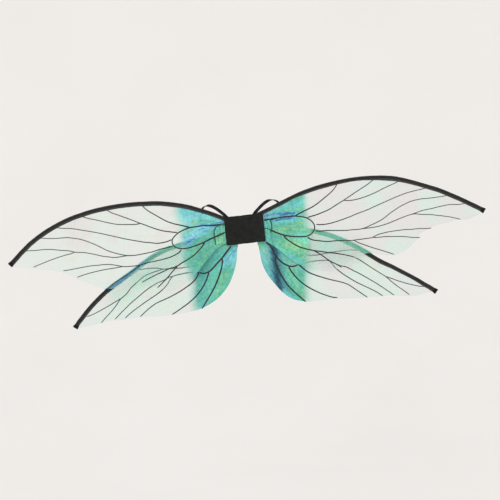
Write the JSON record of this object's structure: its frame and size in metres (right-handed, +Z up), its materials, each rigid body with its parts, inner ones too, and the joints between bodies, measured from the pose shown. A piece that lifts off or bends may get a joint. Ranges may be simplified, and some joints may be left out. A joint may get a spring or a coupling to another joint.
{
  "type": "fairy wings",
  "caption": "Costume fairy wings: four iridescent film wings on sprung rods in black casings, folding at a padded centre patch with two elastic shoulder loops.",
  "frame": {"origin": "middle of the flat face of the back pad, which rests on the wearer's back", "axes": "+Y towards the wearer, +X along the right wing as seen from behind the wearer, +Z up"},
  "size_m": [0.8581, 0.171, 0.2288],
  "materials": {
    "patch_fabric": "matte black felt-like fabric",
    "stiffener_board": "plain board",
    "core_foam": "closed-cell foam",
    "pad_felt": "black felt",
    "strap_elastic": "ribbed flat black elastic",
    "rod_socket": "matte black",
    "spring_rod": "smooth dark rod",
    "casing_fabric": "fine black ribbon fabric, stitched",
    "wing_film": "iridescent translucent film with printed black veins",
    "tip_cap": "heat-sealed black fabric end"
  },
  "bodies": {
    "centre": {"outer_cover": "patch_fabric", "inner_cover": "patch_fabric", "stiffener_plate": "stiffener_board", "core_foam": "core_foam", "back_pad": "pad_felt", "strap_end_top_left": "strap_elastic", "strap_end_bottom_left": "strap_elastic", "strap_end_top_right": "strap_elastic", "strap_end_bottom_right": "strap_elastic"},
    "left_wing": {"outer_side_cover_left": "patch_fabric", "inner_side_cover_left": "patch_fabric", "rod_holder_left": "rod_socket", "fore_rod_left": "spring_rod", "fore_casing_left": "casing_fabric", "fore_film_left": "wing_film", "fore_tip_cap_left": "tip_cap", "hind_rod_left": "spring_rod", "hind_casing_left": "casing_fabric", "hind_film_left": "wing_film", "hind_tip_cap_left": "tip_cap"},
    "right_wing": {"outer_side_cover_right": "patch_fabric", "inner_side_cover_right": "patch_fabric", "rod_holder_right": "rod_socket", "fore_rod_right": "spring_rod", "fore_casing_right": "casing_fabric", "fore_film_right": "wing_film", "fore_tip_cap_right": "tip_cap", "hind_rod_right": "spring_rod", "hind_casing_right": "casing_fabric", "hind_film_right": "wing_film", "hind_tip_cap_right": "tip_cap"},
    "left_strap": {"strap_loop_left": "strap_elastic"},
    "right_strap": {"strap_loop_right": "strap_elastic"}
  },
  "joints": [
    {"name": "left_wing_fold", "type": "hinge", "parent": "centre", "child": "left_wing", "pos_m": [-0.0209, -0.0136, 0], "axis": [0, 0, 1], "range_deg": [0, 75], "stiffness_Nm_per_rad": 0.15},
    {"name": "right_wing_fold", "type": "hinge", "parent": "centre", "child": "right_wing", "pos_m": [0.0209, -0.0136, 0], "axis": [0, 0, -1], "range_deg": [0, 75], "stiffness_Nm_per_rad": 0.15},
    {"name": "left_strap_swing", "type": "hinge", "parent": "centre", "child": "left_strap", "pos_m": [-0.031, -0.0021, 0], "axis": [0, 0, 1], "range_deg": [-20, 20], "stiffness_Nm_per_rad": 0.01},
    {"name": "right_strap_swing", "type": "hinge", "parent": "centre", "child": "right_strap", "pos_m": [0.02187, -0.0021, 0.004], "axis": [-0.0665, 0, 0.9978], "range_deg": [-20, 20], "stiffness_Nm_per_rad": 0.01}
  ]
}
